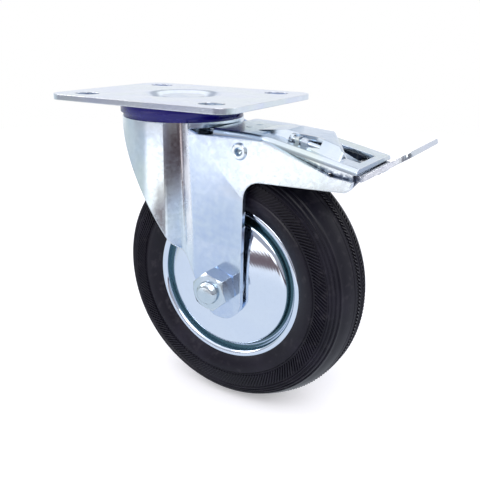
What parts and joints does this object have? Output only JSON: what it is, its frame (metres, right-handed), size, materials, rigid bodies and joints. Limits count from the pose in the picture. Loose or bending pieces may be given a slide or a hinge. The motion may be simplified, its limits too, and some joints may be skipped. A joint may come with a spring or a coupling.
{
  "type": "swivel castor",
  "caption": "Swivel plate castor with a pressed fork, a solid rubber wheel with domed discs, and a rear pedal lever that brakes the wheel and locks the swivel.",
  "frame": {"origin": "on the swivel axis, at the mounting face of the top plate", "axes": "+Z out of the mounting face (up), +X to the trailing side with wheel and pedal, +Y along the wheel axle to the bolt head's side"},
  "size_m": [0.1676, 0.08, 0.1469],
  "materials": {
    "zinc_sheet": "bright blue-white zinc plate with faint spangle",
    "zinc_fastener": "bright zinc plate",
    "bright_disc": "mirror-bright plate on a spun disc",
    "bearing_steel": "hardened and ground",
    "tyre_rubber": "moulded black rubber, satin",
    "seal_plastic": "navy blue, smooth",
    "cage_plastic": "natural nylon"
  },
  "bodies": {
    "plate": {"top_plate": "zinc_sheet", "kingpin": "zinc_fastener", "kingpin_nut": "zinc_fastener", "lock_cup": "bearing_steel"},
    "swivel_fork": {"fork": "zinc_sheet", "seal_ring": "seal_plastic", "upper_balls": "bearing_steel", "lower_balls": "bearing_steel", "axle_bolt": "zinc_fastener", "axle_nut": "zinc_fastener", "axle_sleeve": "bearing_steel", "hub_washers": "bearing_steel", "brake_pivot": "zinc_fastener", "stop_bar": "zinc_fastener"},
    "wheel": {"tyre": "tyre_rubber", "rim_disc_near": "bright_disc", "rim_disc_far": "bright_disc", "hub_tube": "bearing_steel", "roller_cage": "cage_plastic", "hub_rollers": "bearing_steel"},
    "lever": {"brake_lever": "zinc_sheet", "lock_leaf": "zinc_sheet", "leaf_rivets": "zinc_sheet", "brake_shoe": "zinc_sheet", "adjusting_screw": "zinc_fastener", "adjusting_nut": "zinc_fastener", "pedal_pin": "zinc_fastener"},
    "pedal": {"pedal": "zinc_sheet"}
  },
  "joints": [
    {"name": "swivel", "type": "hinge", "parent": "plate", "child": "swivel_fork", "pos_m": [0, 0, -0.0125], "axis": [0, 0, 1], "continuous": true},
    {"name": "wheel_spin", "type": "hinge", "parent": "swivel_fork", "child": "wheel", "pos_m": [0.0338, 0, -0.0844], "axis": [0, 1, 0], "continuous": true},
    {"name": "brake_tilt", "type": "hinge", "parent": "swivel_fork", "child": "lever", "pos_m": [0.0457, 0, -0.0194], "axis": [0, 1, 0], "range_deg": [0, 3]},
    {"name": "pedal_press", "type": "hinge", "parent": "lever", "child": "pedal", "pos_m": [0.0925, 0, -0.0277], "axis": [0, 1, 0], "range_deg": [0, 19]}
  ],
  "couplings": [
    {"joint": "pedal_press", "follows": "brake_tilt", "ratio": 6.333}
  ]
}
